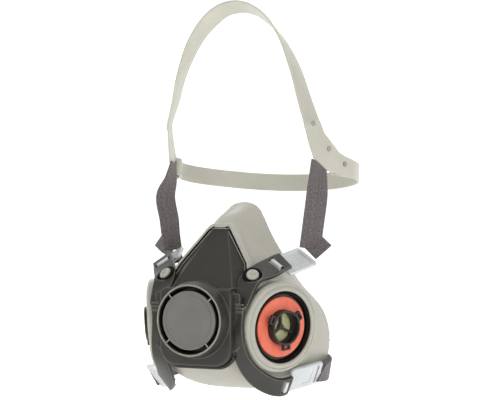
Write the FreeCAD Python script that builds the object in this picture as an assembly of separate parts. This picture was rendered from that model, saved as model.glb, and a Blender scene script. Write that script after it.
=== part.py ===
"""Half-facepiece respirator with two bayonet ports and a head harness.

Millimetres, +Z up, the front of the mask looks along -Y, and X = 0 is the plane of symmetry.
The origin is the centre of the face seal. "left" and "right" are the wearer's, so left is +X.
"""
import FreeCAD
import Part
import math
import os

V = FreeCAD.Vector
X_AXIS, Y_AXIS, Z_AXIS = V(1, 0, 0), V(0, 1, 0), V(0, 0, 1)
ORIGIN = V(0, 0, 0)
FRONT = V(0, -1, 0)

# ---------------------------------------------------------------- driving dimensions

# Facepiece: the elastomer cup that seals on the face.
LIP = 2.0                       # thickness of the inward-turned seal lip
SNOUT_FRONT = -74.0             # Y of the flat front of the cup
SNOUT_WALL = 3.6                # wall thickness at that flat front
NOSE_REGION_Z, CHIN_REGION_Z, SNOUT_REGION_X = 10.0, -46.0, 22.0

# The cup at each station along Y: its wall, and its half outline from top to bottom as (x, z).
# The wall is thicker at the front, where the frame and the yoke lie in it.
CUP_SECTIONS = [
    (22.0, 3.0, [(0, 66.5), (13, 62), (21, 47.5), (28.5, 28), (40, 7), (55.5, -12), (61, -32), (53, -56), (29, -68), (0, -70.5)]),
    (0.0, 3.0, [(0, 64.5), (12, 60), (20.5, 45), (29, 27), (41, 6), (55, -11), (59.5, -31), (52, -55), (29, -67), (0, -69.5)]),
    (-20.0, 3.2, [(0, 56), (9.5, 53), (17, 41), (27.5, 25), (43, 8), (56, -8), (59, -28), (51.5, -52), (28, -66), (0, -68)]),
    (-41.0, 5.4, [(0, 46.5), (8.0, 43.5), (16.5, 32), (27.5, 20), (40, 6), (50, -8), (51, -28), (44, -49), (24, -61.5), (0, -63.5)]),
    (-60.0, 5.4, [(0, 17), (9, 16.5), (18, 13.5), (26.5, 7), (33, -1), (38, -12), (38, -27), (33, -43), (19, -54), (0, -56.5)]),
    (-74.0, 4.2, [(0, 0), (8, 0), (15, -1.5), (20, -5), (23, -11), (24, -18), (23.5, -27), (20, -37), (12, -43.5), (0, -45)]),
]
# Half outline of the opening for the nose, mouth and chin in the seal lip.
FACE_OPENING = [(0, 49), (7.5, 46), (13, 36), (19, 20), (29, 2), (42, -12), (47, -30), (40, -48), (22, -56.5), (0, -58.5)]

# Height of the face surface along Y at mid-width, and how far it is back at the cheeks.
FACE_STATIONS = [(-80.0, 5.0), (-66.0, 1.0), (-45.0, -5.5), (-20.0, -8.0), (15.0, -8.0), (45.0, -7.0), (70.0, -2.5)]
CHEEK_SET_BACK = 20.0           # how much further back the face is at CHEEK_X than in the middle
CHEEK_X = 60.0

# Inhalation ports: one on each cheek, with a bayonet for a filter.
PORT_CENTRE = V(49.2, -48.0, -22.4)     # centre of the gasket's outer face
PORT_YAW = 65.0                         # degrees from straight ahead towards the side
PORT_PITCH = -4.0                       # degrees below the horizontal
PORT_TUBE_R, PORT_BORE_R = 11.75, 10.5
PORT_TUBE_OUT = 5.7                     # how far the tube stands out of the gasket's face
PORT_NECK_R = 16.8
GASKET_R, GASKET_T = 20.6, 1.5
FLANGE_R, FLANGE_T = 22.0, 1.5
LUG_ANGLES = (35.0, 155.0, 275.0)
SPOKE_ANGLES = (95.0, 215.0, 335.0)
FLAP_GAP = 0.2                          # air gap between a valve flap and its seat
INHALATION_FLAP_R, FLAP_T = 13.4, 0.8

# Exhalation valve, in the middle of the front.
EXHALE_Z = -17.0
SHROUD_RIM_R, SHROUD_BASE_R, SHROUD_BORE_R = 24.0, 26.0, 22.7
SHROUD_FRONT, SHROUD_FLOOR = -89.0, -79.6
SEAT_TUBE_R, SEAT_BORE_R, SEAT_CLIP_R = 15.0, 13.3, 16.6
COVER_DISC_R = 19.8
COVER_RING_R = 22.62                    # a snap fit in the shroud
EXHALATION_FLAP_R = 16.6

# Front frame: box around the exhalation valve and the sloping triangular plate above it.
BOX_HALF_W, BOX_TOP, BOX_BOTTOM = 27.0, 4.0, -48.0
BOX_FRONT, BOX_BACK = -80.0, -74.2
BOX_WALL = 2.4
APEX = V(5.0, -41.0, 44.4)
PLATE_FOOT = V(22.7, -70.0, 4.0)
PLATE_T = 2.6
# The plate at three heights: z, half width and y of its flat, half width and y of its side facets' outer edges.
PLATE_SECTIONS = [
    (PLATE_FOOT.z, PLATE_FOOT.x, PLATE_FOOT.y, 31.0, -60.0),
    (18.0, 16.9, -60.0, 26.5, -50.0),
    (APEX.z, APEX.x, APEX.y, 7.0, -38.4),
]

# Yoke: the plate that carries the harness. Half of it, from the upper arm's end, round the port, to
# the lower arm's end: centre, direction across the strip towards the port, and half width.
YOKE_T = 2.6
YOKE_UPPER = [
    (V(48.2, -39.2, 22.8), V(0.808, -0.225, -0.543), 7.4),
    (V(43.75, -45.25, 20.0), V(0.826, -0.168, -0.538), 7.8),
    (V(38.6, -53.0, 16.2), V(0.84, -0.20, -0.50), 8.0),
    (V(33.9, -60.3, 12.6), V(0.87, -0.27, -0.40), 7.8),
    (V(32.2, -69.0, 2.5), V(0.93, -0.28, -0.22), 6.2),
    (V(31.4, -76.6, -8.0), V(0.97, -0.20, -0.05), 4.2),
]
YOKE_LOWER = [
    (V(31.4, -76.6, -8.0), V(0.97, -0.20, -0.05), 4.2),
    (V(30.6, -77.2, -24.0), V(0.97, -0.20, 0.05), 3.6),
    (V(31.2, -74.5, -39.5), V(0.93, -0.15, 0.33), 4.8),
    (V(33.6, -63.5, -52.5), V(0.78, -0.25, 0.57), 6.2),
    (V(39.0, -50.0, -61.8), V(0.60, -0.35, 0.72), 7.0),
    (V(44.0, -42.2, -64.6), V(0.46, -0.42, 0.78), 7.2),
    (V(49.2, -33.0, -63.4), V(0.443, -0.42, 0.79), 7.2),
]
UPPER_SLOT = V(43.75, -45.25, 20.0)
UPPER_SLOT_ALONG = V(0.826, -0.168, -0.538)
LOWER_SLOT = V(46.9, -37.2, -64.2)
LOWER_SLOT_ALONG = V(-0.443, 0.42, -0.79)
SLOT_LENGTH, SLOT_WIDTH = 12.6, 4.6
STUD = V(33.5, -60.3, 13.0)
STUD_SHAFT_R, STUD_HEAD_R, STUD_WELL_R = 3.2, 4.4, 6.7
BRIDGE_BACK, BRIDGE_FRONT = -74.2, -76.5

# Buckles, and the directions from their slots to their far edges.
UPPER_BUCKLE_DIR = V(0.347, 0.905, 0.248)
LOWER_BUCKLE_DIR = V(0.483, 0.858, 0.175)
RIGHT_SWING = 25.0              # how far the right lower buckle has swung outwards, in degrees
BUCKLE_LENGTH, BUCKLE_HALF_W, BUCKLE_T = 33.0, 10.0, 2.4
BAR_SET_BACK = 3.4              # from the middle of a slot to the middle of the bar beyond it
HOOK_WIDTH = 9.0
BUCKLE_GAP = 0.9                # between the bar and the buckle's plate

# Harness: the crown band, the rear band, the upper straps and the neck strap.
BAND_T = 1.5
STRAP_T = 1.4
STRAP_HALF_W = 7.5


# ---------------------------------------------------------------- helpers

def unit(v):
    """The direction of v, one long."""
    return V(v).normalize()


def mirrored(shape):
    """The same shape on the wearer's right."""
    return shape.mirror(ORIGIN, X_AXIS)


def smooth_loop(points):
    """A smooth closed wire through the points."""
    curve = Part.BSplineCurve()
    curve.interpolate(Points=points, PeriodicFlag=True)
    return Part.Wire([curve.toShape()])


def polygon(points):
    return Part.makePolygon(list(points) + [points[0]])


def full_outline(half):
    """A symmetric outline from its half, as (x, z) pairs without the repeated ends."""
    return half + [(-x, z) for x, z in reversed(half[1:-1])]


def inset(outline, distance):
    """The outline moved inwards by a distance, along the normal at each point."""
    moved = []
    for i, (x, z) in enumerate(outline):
        (xa, za), (xb, zb) = outline[i - 1], outline[(i + 1) % len(outline)]
        length = math.hypot(xb - xa, zb - za)
        moved.append((x + distance * (zb - za) / length, z - distance * (xb - xa) / length))
    return moved


def cylinder(radius, start, end):
    axis = end - start
    return Part.makeCylinder(radius, axis.Length, start, axis)


def ring(outer, inner, start, end):
    return cylinder(outer, start, end).cut(cylinder(inner, start, end))


def revolved(profile, centre, axis):
    """A solid of revolution from (radius, distance along the axis) pairs."""
    side = unit(axis.cross(Z_AXIS) if abs(axis.z) < 0.9 else axis.cross(X_AXIS))
    points = [centre + side * r + axis * t for r, t in profile]
    return Part.Face(polygon(points)).revolve(centre, axis, 360)


def block(centre, along, across, length, width, height):
    """A box around a centre, with its length along one direction and its width across it."""
    e1 = unit(along)
    e2 = unit(across - e1 * across.dot(e1))
    e3 = e1.cross(e2)
    corner = centre - e1 * (length / 2) - e2 * (width / 2) - e3 * (height / 2)
    matrix = FreeCAD.Matrix(e1.x, e2.x, e3.x, corner.x, e1.y, e2.y, e3.y, corner.y,
                            e1.z, e2.z, e3.z, corner.z, 0, 0, 0, 1)
    box = Part.makeBox(length, width, height)
    box.Placement = FreeCAD.Placement(matrix)
    return box


def strip(stations, thickness):
    """A flat strip lofted through (centre, direction across, half width), outer face to the left.

    Its thickness lies behind the centre line, on the side away from along x across.
    """
    wires = []
    for i, (centre, across, half) in enumerate(stations):
        before = stations[max(i - 1, 0)][0]
        after = stations[min(i + 1, len(stations) - 1)][0]
        along = unit(after - before)
        w = unit(across - along * across.dot(along))
        back = w.cross(along) * thickness
        corners = [centre - w * half, centre + w * half]
        wires.append(polygon([corners[0], corners[1], corners[1] + back, corners[0] + back]))
    return Part.makeLoft(wires, True, False)


def rounded(shape, radius, test):
    """The shape with the edges that pass the test rounded, or as it is if they can't be."""
    edges = [edge for edge in shape.Edges if test(edge)]
    try:
        result = shape.makeFillet(radius, edges)
    except Exception:
        return shape
    return result if result.isValid() else shape


def largest(shape):
    return max(shape.Solids, key=lambda solid: solid.Volume)


def long_edges(minimum):
    return lambda edge: edge.Length > minimum


# ---------------------------------------------------------------- shared frames

PORT_AXIS = unit(V(math.sin(math.radians(PORT_YAW)) * math.cos(math.radians(PORT_PITCH)),
                   -math.cos(math.radians(PORT_YAW)) * math.cos(math.radians(PORT_PITCH)),
                   math.sin(math.radians(PORT_PITCH))))
PORT_REAR = unit(Z_AXIS.cross(PORT_AXIS))       # in the port's plane, towards the back of the head
PORT_UP = PORT_AXIS.cross(PORT_REAR)


def port_point(t, radius=0.0, angle=0.0):
    """A point t outside the gasket's face, at a radius and angle about the port's axis."""
    a = math.radians(angle)
    return PORT_CENTRE + PORT_AXIS * t + PORT_REAR * (radius * math.cos(a)) + PORT_UP * (radius * math.sin(a))


def exhale_point(y, radius=0.0, angle=0.0):
    a = math.radians(angle)
    return V(radius * math.cos(a), y, EXHALE_Z + radius * math.sin(a))


STUD_AXIS = unit(V(0.34, -0.66, 0.67))


# ---------------------------------------------------------------- facepiece

def cup(hollow):
    """The cup's outer form, or the hollow in it."""
    wires = []
    for y, wall, half in CUP_SECTIONS:
        station = y + SNOUT_WALL if hollow and y == SNOUT_FRONT else y
        outline = inset(full_outline(half), wall if hollow else 0.0)
        wires.append(smooth_loop([V(x, station, z) for x, z in outline]))
    return Part.makeLoft(wires, True, False)


def behind_face(shift=0.0):
    """Everything behind the surface of the face, moved along Y by shift."""
    wires = []
    far, back = 90.0, 80.0
    for z, middle in FACE_STATIONS:
        points = []
        for step in range(-6, 7):
            x = far * step / 6
            points.append(V(x, middle + shift + CHEEK_SET_BACK * (x / CHEEK_X) ** 2, z))
        curve = Part.BSplineCurve()
        curve.interpolate(points)
        sides = Part.makePolygon([points[-1], V(far, back, z), V(-far, back, z), points[0]])
        wires.append(Part.Wire([curve.toShape()] + sides.Edges))
    return Part.makeLoft(wires, True, False)


def port_boss():
    profile = [(0, -16), (30.5, -16), (30, -6), (29.4, -2), (28.6, 0.6), (27.4, 1.9), (26.2, 2.1), (25.2, 1.4),
               (22.6, -1.6), (22.3, -FLANGE_T - GASKET_T), (0, -FLANGE_T - GASKET_T)]
    return revolved(profile, PORT_CENTRE, PORT_AXIS)


def make_facepiece(yoke, frame):
    boss = port_boss()
    pedestal = cylinder(7.4, STUD - STUD_AXIS * 14, STUD - STUD_AXIS * YOKE_T)
    outer = cup(False).fuse([boss, mirrored(boss), pedestal, mirrored(pedestal)])
    recess = cylinder(22.3, port_point(-FLANGE_T - GASKET_T), port_point(4))
    outer = outer.cut([recess, mirrored(recess), behind_face()])
    port_cavity = cylinder(25.0, port_point(-24), port_point(-6.6))
    cavity = cup(True).fuse([port_cavity, mirrored(port_cavity)])
    cavity = cavity.cut(behind_face(-LIP))
    shell = outer.cut(cavity)
    opening = Part.Face(smooth_loop([V(x, -14, z) for x, z in full_outline(FACE_OPENING)])).extrude(V(0, 44, 0))
    port_hole = cylinder(PORT_NECK_R, port_point(-10), port_point(0))
    exhale_hole = cylinder(SEAT_TUBE_R, exhale_point(-60), exhale_point(-80))
    clip_pocket = cylinder(SEAT_CLIP_R + 0.4, exhale_point(-60), exhale_point(SNOUT_FRONT + SNOUT_WALL))
    shell = shell.cut([opening, port_hole, mirrored(port_hole), exhale_hole, clip_pocket])
    return largest(shell.cut([yoke, frame, space_before_plate()]))


def box_between(low, high):
    """An upright box from its two opposite corners."""
    return Part.makeBox(high[0] - low[0], high[1] - low[1], high[2] - low[2], V(*low))


def facepiece_regions(shell):
    """The one moulding cut into five simple regions, which meet face to face."""
    far, left = 150.0, SNOUT_REGION_X
    top, bottom = NOSE_REGION_Z, CHIN_REGION_Z
    boxes = {
        "facepiece_nose": box_between((-far, -far, top), (far, far, far)),
        "facepiece_chin": box_between((-far, -far, -far), (far, far, bottom)),
        "facepiece_snout": box_between((-left, -far, bottom), (left, far, top)),
        "facepiece_left_cheek": box_between((left, -far, bottom), (far, far, top)),
        "facepiece_right_cheek": box_between((-far, -far, bottom), (-left, far, top)),
    }
    return {name: shell.common(box) for name, box in boxes.items()}


# ---------------------------------------------------------------- inhalation ports

def make_port():
    back = -FLANGE_T - GASKET_T
    body = ring(PORT_TUBE_R, PORT_BORE_R, port_point(0.2), port_point(PORT_TUBE_OUT))
    floor = ring(PORT_TUBE_R, PORT_BORE_R - 0.5, port_point(back), port_point(0.2))
    flange = ring(FLANGE_R, PORT_BORE_R - 0.5, port_point(back), port_point(-GASKET_T))
    neck = ring(PORT_NECK_R, 15.2, port_point(-8.1), port_point(back))
    clip = ring(19.5, 15.2, port_point(-8.1), port_point(-6.6))
    body = body.fuse([floor, flange, neck, clip])
    for angle in SPOKE_ANGLES:
        spoke = block(port_point(-1.1, 5.6, angle), port_point(0, 1, angle) - port_point(0), PORT_AXIS, 10.2, 2.2, 1.3)
        body = body.fuse(spoke)
    hub = cylinder(1.9, port_point(-2.9), port_point(0.1))
    pin = cylinder(1.2, port_point(-6.2), port_point(-2))
    pin_head = cylinder(1.9, port_point(-7.0), port_point(-6.2))
    body = body.fuse([hub, pin, pin_head])
    for angle in LUG_ANGLES:
        out = port_point(0, 1, angle) - port_point(0)
        lug = block(port_point(4.1, 13.2, angle), out, PORT_AXIS, 4.0, 2.6, 6.4)
        window = block(port_point(4.1, 13.2, angle), out, PORT_AXIS, 1.5, 4.0, 4.0)
        lug = rounded(lug, 0.5, long_edges(0.1)).cut(window)
        body = body.fuse(lug.cut(cylinder(PORT_TUBE_R - 0.3, port_point(0), port_point(8))))
    return body.removeSplitter()


def make_gasket():
    profile = [(PORT_TUBE_R + 0.1, -GASKET_T), (GASKET_R, -GASKET_T), (GASKET_R, -0.5), (GASKET_R - 0.5, 0.0),
               (PORT_TUBE_R + 0.1, 0.0)]
    return revolved(profile, PORT_CENTRE, PORT_AXIS)


def make_inhalation_flap():
    top = -FLANGE_T - GASKET_T - FLAP_GAP
    return ring(INHALATION_FLAP_R, 1.25, port_point(top - FLAP_T), port_point(top))


# ---------------------------------------------------------------- exhalation valve

def make_valve_seat():
    tube = ring(SEAT_TUBE_R, SEAT_BORE_R, exhale_point(-81.2), exhale_point(-69.0))
    front_flange = ring(19.0, SEAT_BORE_R, exhale_point(-81.2), exhale_point(SHROUD_FLOOR))
    back_flange = ring(SEAT_CLIP_R, SEAT_BORE_R, exhale_point(-70.4), exhale_point(-69.0))
    seat = tube.fuse([front_flange, back_flange])
    for angle in (0, 90, 180, 270):
        arm_dir = exhale_point(0, 1, angle) - exhale_point(0)
        seat = seat.fuse(block(exhale_point(-79.8, 7.0, angle), arm_dir, Y_AXIS, 13.4, 2.4, 1.6))
    hub = cylinder(2.4, exhale_point(-81.1), exhale_point(-78.4))
    pin = cylinder(1.3, exhale_point(-84.6), exhale_point(-80.0))
    pin_head = cylinder(2.0, exhale_point(-85.4), exhale_point(-84.6))
    return seat.fuse([hub, pin, pin_head]).removeSplitter()


def make_exhalation_flap():
    back = -81.2 - 0.1
    return ring(EXHALATION_FLAP_R, 1.36, exhale_point(back), exhale_point(back - 0.7))


def make_valve_cover():
    disc = cylinder(COVER_DISC_R, exhale_point(-89.0), exhale_point(-87.4))
    disc = rounded(disc, 0.5, long_edges(50))
    dish = ring(17.4, 16.6, exhale_point(-89.5), exhale_point(-88.7))
    skirt = ring(COVER_DISC_R - 0.4, COVER_DISC_R - 1.6, exhale_point(-88.0), exhale_point(-85.0))
    outer_ring = ring(COVER_RING_R, COVER_RING_R - 0.9, exhale_point(-87.6), exhale_point(-80.4))
    cover = disc.cut(dish).fuse([skirt, outer_ring])
    for angle in (45, 135, 225, 315):
        spoke_dir = exhale_point(0, 1, angle) - exhale_point(0)
        cover = cover.fuse(block(exhale_point(-87.2, 20.6, angle), spoke_dir, Y_AXIS, 3.4, 2.4, 1.3))
    return cover.removeSplitter()


# ---------------------------------------------------------------- front frame

def rounded_box_outline(half_w, top, bottom, top_r, bottom_r, y):
    """A rectangle in the plane y with rounded corners, as a wire."""
    def arc(cx, cz, r, start):
        mid, end = start + 45, start + 90
        pts = [V(cx + r * math.cos(math.radians(a)), y, cz + r * math.sin(math.radians(a))) for a in (start, mid, end)]
        return Part.Arc(*pts).toShape(), pts[0], pts[2]
    corners = [arc(half_w - top_r, top - top_r, top_r, 0), arc(-half_w + top_r, top - top_r, top_r, 90),
               arc(-half_w + bottom_r, bottom + bottom_r, bottom_r, 180),
               arc(half_w - bottom_r, bottom + bottom_r, bottom_r, 270)]
    edges = []
    for i, (edge, _, end) in enumerate(corners):
        edges += [edge, Part.makeLine(end, corners[(i + 1) % 4][1])]
    return Part.Wire(edges)


def plate_section(z, half_front, y_front, half_side, y_side, thickness):
    t = thickness
    outer = [(-half_side, y_side), (-half_front, y_front), (half_front, y_front), (half_side, y_side)]
    inner = [(half_side - t, y_side), (half_front - 0.4 * t, y_front + t), (-half_front + 0.4 * t, y_front + t),
             (-half_side + t, y_side)]
    return polygon([V(x, y, z) for x, y in outer + inner])


def space_before_plate():
    """Everything in front of the sloping plate, which the facepiece leaves free."""
    sections = []
    for z, half_front, y_front, half_side, y_side in PLATE_SECTIONS:
        outer = [(-half_side, y_side), (-half_front, y_front), (half_front, y_front), (half_side, y_side)]
        sections.append(polygon([V(x, y, z) for x, y in outer + [(half_side, -110.0), (-half_side, -110.0)]]))
    return Part.makeLoft(sections, True, True)


def bridge_plate(gap, back, front):
    """The flat plate that joins the two halves of the yoke behind the box, or a gap for it."""
    outline = rounded_box_outline(32.0 + gap, 0.9 + gap, -38.0 - gap, 2.0, 6.0, back)
    return Part.Face(outline).extrude(V(0, front - back, 0))


def make_front_frame(wing):
    outline = rounded_box_outline(BOX_HALF_W, BOX_TOP, BOX_BOTTOM, 5.0, 13.0, BOX_BACK)
    box = Part.Face(outline).extrude(V(0, BOX_FRONT - BOX_BACK, 0))
    box = rounded(box, 1.6, lambda e: abs(e.CenterOfMass.y - BOX_FRONT) < 0.01)
    hollow = rounded_box_outline(BOX_HALF_W - BOX_WALL, BOX_TOP - BOX_WALL, BOX_BOTTOM + BOX_WALL, 3.0, 11.0, BOX_BACK)
    hollow = Part.Face(hollow).extrude(V(0, BRIDGE_FRONT - 0.1 - BOX_BACK, 0))
    slope = Part.makeLoft([plate_section(*section, PLATE_T) for section in PLATE_SECTIONS], True, True)
    shroud = Part.makeCone(SHROUD_BASE_R, SHROUD_RIM_R, -SHROUD_FRONT + BOX_FRONT, exhale_point(BOX_FRONT), FRONT)
    shroud = rounded(shroud, 0.8, lambda e: abs(e.CenterOfMass.y - SHROUD_FRONT) < 0.01)
    shroud_root = cylinder(SHROUD_BASE_R, exhale_point(PLATE_FOOT.y), exhale_point(BOX_FRONT))
    below_shelf = Part.makeBox(80, 30, 80, V(-40, BRIDGE_FRONT - 0.1, BOX_TOP - BOX_WALL - 80))
    shroud_root = shroud_root.cut(below_shelf)
    shelf_back, shelf_front = PLATE_FOOT.y + PLATE_T, BOX_BACK - 1.0
    shelf = Part.makeBox(2 * (BOX_HALF_W - 3), shelf_back - shelf_front, BOX_WALL,
                         V(-BOX_HALF_W + 3, shelf_front, BOX_TOP - BOX_WALL))
    frame = box.fuse([shroud, shroud_root, shelf, slope])
    bore = cylinder(SHROUD_BORE_R, exhale_point(SHROUD_FLOOR), exhale_point(SHROUD_FRONT - 1))
    valve_hole = cylinder(SEAT_TUBE_R + 0.1, exhale_point(-60.0), exhale_point(-82.0))
    yoke_gap = bridge_plate(0.1, BOX_BACK + 1.0, BRIDGE_FRONT - 0.1)
    frame = frame.cut([hollow, bore, valve_hole, yoke_gap, wing, mirrored(wing)])
    return largest(frame)


# ---------------------------------------------------------------- yoke

def yoke_wing():
    """The left half of the yoke, without its slots and the hole for its stud."""
    return strip(YOKE_UPPER, YOKE_T).fuse(strip(YOKE_LOWER, YOKE_T))


def yoke_half():
    well = cylinder(STUD_WELL_R, STUD - STUD_AXIS * 1.1, STUD + STUD_AXIS * 4)
    hole = cylinder(STUD_SHAFT_R + 0.05, STUD - STUD_AXIS * 10, STUD + STUD_AXIS * 4)
    upper_slot = block(UPPER_SLOT, UPPER_SLOT_ALONG, UPPER_BUCKLE_DIR, SLOT_LENGTH, SLOT_WIDTH, 14)
    lower_slot = block(LOWER_SLOT, LOWER_SLOT_ALONG, LOWER_BUCKLE_DIR, SLOT_LENGTH - 1.6, SLOT_WIDTH, 14)
    return yoke_wing().cut([well, hole, upper_slot, lower_slot])


def make_yoke():
    half = yoke_half()
    bridge = bridge_plate(0, BRIDGE_BACK, BRIDGE_FRONT)
    hole = cylinder(SEAT_TUBE_R + 0.1, exhale_point(-60.0), exhale_point(-82.0))
    yoke = bridge.fuse([half, mirrored(half)]).cut(hole)
    ribs = []
    for z in (-6.4, -8.8, -11.2):
        rib = block(V(31.9, -76.9, z), V(0.97, -0.20, 0), Z_AXIS, 6.0, 1.1, 1.6)
        ribs += [rib, mirrored(rib)]
    return yoke.fuse(ribs).removeSplitter()


def make_stud():
    profile = [(0, -9), (STUD_SHAFT_R, -9), (STUD_SHAFT_R, -1.0), (STUD_HEAD_R, -1.0), (STUD_HEAD_R, 0.6),
               (3.9, 1.4), (2.9, 1.9), (1.6, 1.8), (0, 1.5)]
    return revolved(profile, STUD, STUD_AXIS)


# ---------------------------------------------------------------- buckles

def buckle_frame(slot, along_slot, direction):
    """The centre of the bar that a buckle hooks on, and the buckle's own three directions."""
    e1, e2 = unit(direction), unit(along_slot)
    e3 = e1.cross(e2)
    out = e3 if e3.x > 0 else e3 * -1
    return slot + e1 * BAR_SET_BACK - out * (YOKE_T / 2), e1, e2, out


def make_buckle(slot, along_slot, direction):
    """A plate that hooks round the bar at the end of a yoke arm and carries the elastic."""
    bar, e1, e2, out = buckle_frame(slot, along_slot, direction)
    level = -YOKE_T / 2 - BUCKLE_GAP - BUCKLE_T / 2
    start, end = 2.5, BUCKLE_LENGTH - BAR_SET_BACK
    plate = block(bar + e1 * ((start + end) / 2) + out * level, e1, e2, end - start, 2 * BUCKLE_HALF_W, BUCKLE_T)
    plate = rounded(plate, 2.6, lambda e: abs(e.Length - BUCKLE_T) < 0.01)
    plate = rounded(plate, 0.6, lambda e: e.Length > 3)
    strap_window = block(bar + e1 * (end - 3.6) + out * level, e1, e2, 1.8, 15.8, 6)
    panel = block(bar + e1 * (end - 12.0) + out * (level + BUCKLE_T / 2), e1, e2, 9.0, 12.0, 0.8)
    neck = block(bar + e1 * 0.2 + out * level, e1, e2, 8.8, HOOK_WIDTH, BUCKLE_T)
    leg = block(bar + e1 * -3.4 + out * -0.8, e1, e2, 1.4, HOOK_WIDTH, 5.6)
    catch = block(bar + e1 * -2.9 + out * 1.7, e1, e2, 2.4, HOOK_WIDTH, 0.7)
    return plate.cut([strap_window, panel]).fuse([neck, leg, catch]).removeSplitter()


# ---------------------------------------------------------------- harness

def crown_half():
    """Stations of the crown band from the side of the head to its top: centre, across, half width."""
    return [
        (V(56.8, -12.8, 114.0), V(0.348, 0.937, 0.0), 7.5),
        (V(55.3, -13.6, 121.0), V(0.31, 0.95, 0.02), 7.5),
        (V(50.9, -14.0, 134.5), V(0.21, 0.977, 0.04), 7.5),
        (V(47.3, -14.8, 147.4), V(0.12, 0.992, 0.03), 7.5),
        (V(42.0, -15.2, 161.5), V(0.0, 1.0, 0.0), 7.5),
        (V(37.0, -15.2, 172.0), V(-0.12, 0.99, -0.06), 7.5),
        (V(30.0, -15.2, 182.5), V(-0.20, 0.968, -0.15), 7.5),
        (V(22.8, -15.3, 190.0), V(-0.24, 0.93, -0.27), 7.5),
        (V(13.0, -15.6, 196.8), V(-0.12, 0.92, -0.38), 7.5),
    ]


def make_crown_band():
    half = crown_half()
    top = [(V(0, -15.8, 199.6), V(0, 0.90, -0.43), 7.5)]
    other = [(V(-c.x, c.y, c.z), V(-a.x, a.y, a.z), h) for c, a, h in reversed(half)]
    band = strip(half + top + other, -BAND_T)
    web = junction_web()
    return band.fuse([web, mirrored(web)]).removeSplitter()


WEB_ORIGIN, WEB_NORMAL = V(56.5, -13.2, 112.5), unit(V(0.937, -0.348, 0))
WEB_BACK = unit(V(0.348, 0.937, 0))


def web_point(e, z, out=0.0):
    return WEB_ORIGIN + WEB_BACK * e + Z_AXIS * (z - WEB_ORIGIN.z) + WEB_NORMAL * out


def junction_web():
    """The plate where the crown band, the rear band and the upper strap meet."""
    outline = [(-7.6, 118.0), (-2.7, 102.9), (2.3, 92.2), (15.2, 83.7), (29.6, 80.6), (41.0, 78.4),
               (41.0, 91.6), (32.7, 94.0), (26.9, 96.6), (19.0, 103.6), (11.9, 110.0), (7.4, 118.4)]
    face = Part.Face(polygon([web_point(e, z) for e, z in outline]))
    return face.extrude(WEB_NORMAL * -BAND_T)


def make_rear_band():
    half = [(63.4, 8.0, 87.8), (67.6, 19.6, 86.2), (70.0, 31.0, 84.6), (67.6, 44.0, 82.6), (59.5, 58.0, 80.6),
            (47.0, 70.0, 78.8), (30.0, 79.5, 77.2), (14.0, 84.6, 76.4)]
    half = [(V(x, y, z), V(0, 0, -1), 6.3) for x, y, z in half]
    inside = V(-1.6, 0.6, 0)
    half[0] = (half[0][0] + inside, half[0][1], 6.3)
    half[1] = (half[1][0] + inside, half[1][1], 6.3)
    middle = [(V(0, 86.0, 76.2), V(0, 0, -1), 6.3)]
    other = [(V(-c.x, c.y, c.z), a, h) for c, a, h in reversed(half)]
    return strip(half + middle + other, -BAND_T)


def make_snaps():
    """Three press studs that hold the bands together, as one group."""
    studs = []
    for e, z in ((0.6, 116.0), (16.4, 98.9), (32.3, 88.2)):
        pin = cylinder(1.9, web_point(e, z, 0.0), web_point(e, z, 0.7))
        studs.append(rounded(pin, 0.3, lambda edge: True))
    return Part.makeCompound(studs)


def make_left_upper_strap():
    strap = strip([
        (V(57.8, -4.1, 90.0), V(0.29, 0.79, -0.53), STRAP_HALF_W),
        (V(58.6, -7.6, 77.0), V(0.60, 0.75, -0.25), STRAP_HALF_W),
        (V(58.9, -11.8, 63.0), V(0.88, 0.47, 0.0), STRAP_HALF_W),
        (V(56.4, -12.0, 46.0), V(0.90, 0.43, 0.0), STRAP_HALF_W),
        (V(54.6, -11.0, 30.0), V(0.88, 0.38, -0.25), STRAP_HALF_W),
    ], STRAP_T)
    tail = strip([
        (V(53.4, -11.4, 26.6), V(0.85, -0.17, -0.50), STRAP_HALF_W),
        (V(57.9, -8.4, 31.2), V(0.85, -0.17, -0.50), STRAP_HALF_W),
        (V(62.4, -5.2, 36.0), V(0.85, -0.17, -0.50), STRAP_HALF_W),
    ], STRAP_T)
    return strap.fuse(tail)


def make_right_upper_strap():
    strap = strip([
        (V(-56.7, -3.7, 90.0), V(-0.29, 0.79, -0.53), STRAP_HALF_W),
        (V(-57.8, -6.5, 77.0), V(0.10, 0.95, -0.25), STRAP_HALF_W),
        (V(-59.0, -10.5, 65.0), V(0.66, 0.75, 0.0), STRAP_HALF_W),
        (V(-55.2, -11.5, 50.0), V(0.80, 0.58, 0.0), STRAP_HALF_W),
        (V(-52.2, -12.2, 31.5), V(0.85, 0.45, 0.05), STRAP_HALF_W),
    ], STRAP_T)
    tail = strip([
        (V(-55.5, -9.0, 26.0), V(-0.70, 0.53, -0.49), STRAP_HALF_W),
        (V(-61.0, -10.5, 29.0), V(-0.70, 0.53, -0.49), STRAP_HALF_W),
        (V(-66.0, -12.0, 34.0), V(-0.70, 0.53, -0.49), STRAP_HALF_W),
    ], STRAP_T)
    return strap.fuse(tail)


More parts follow.
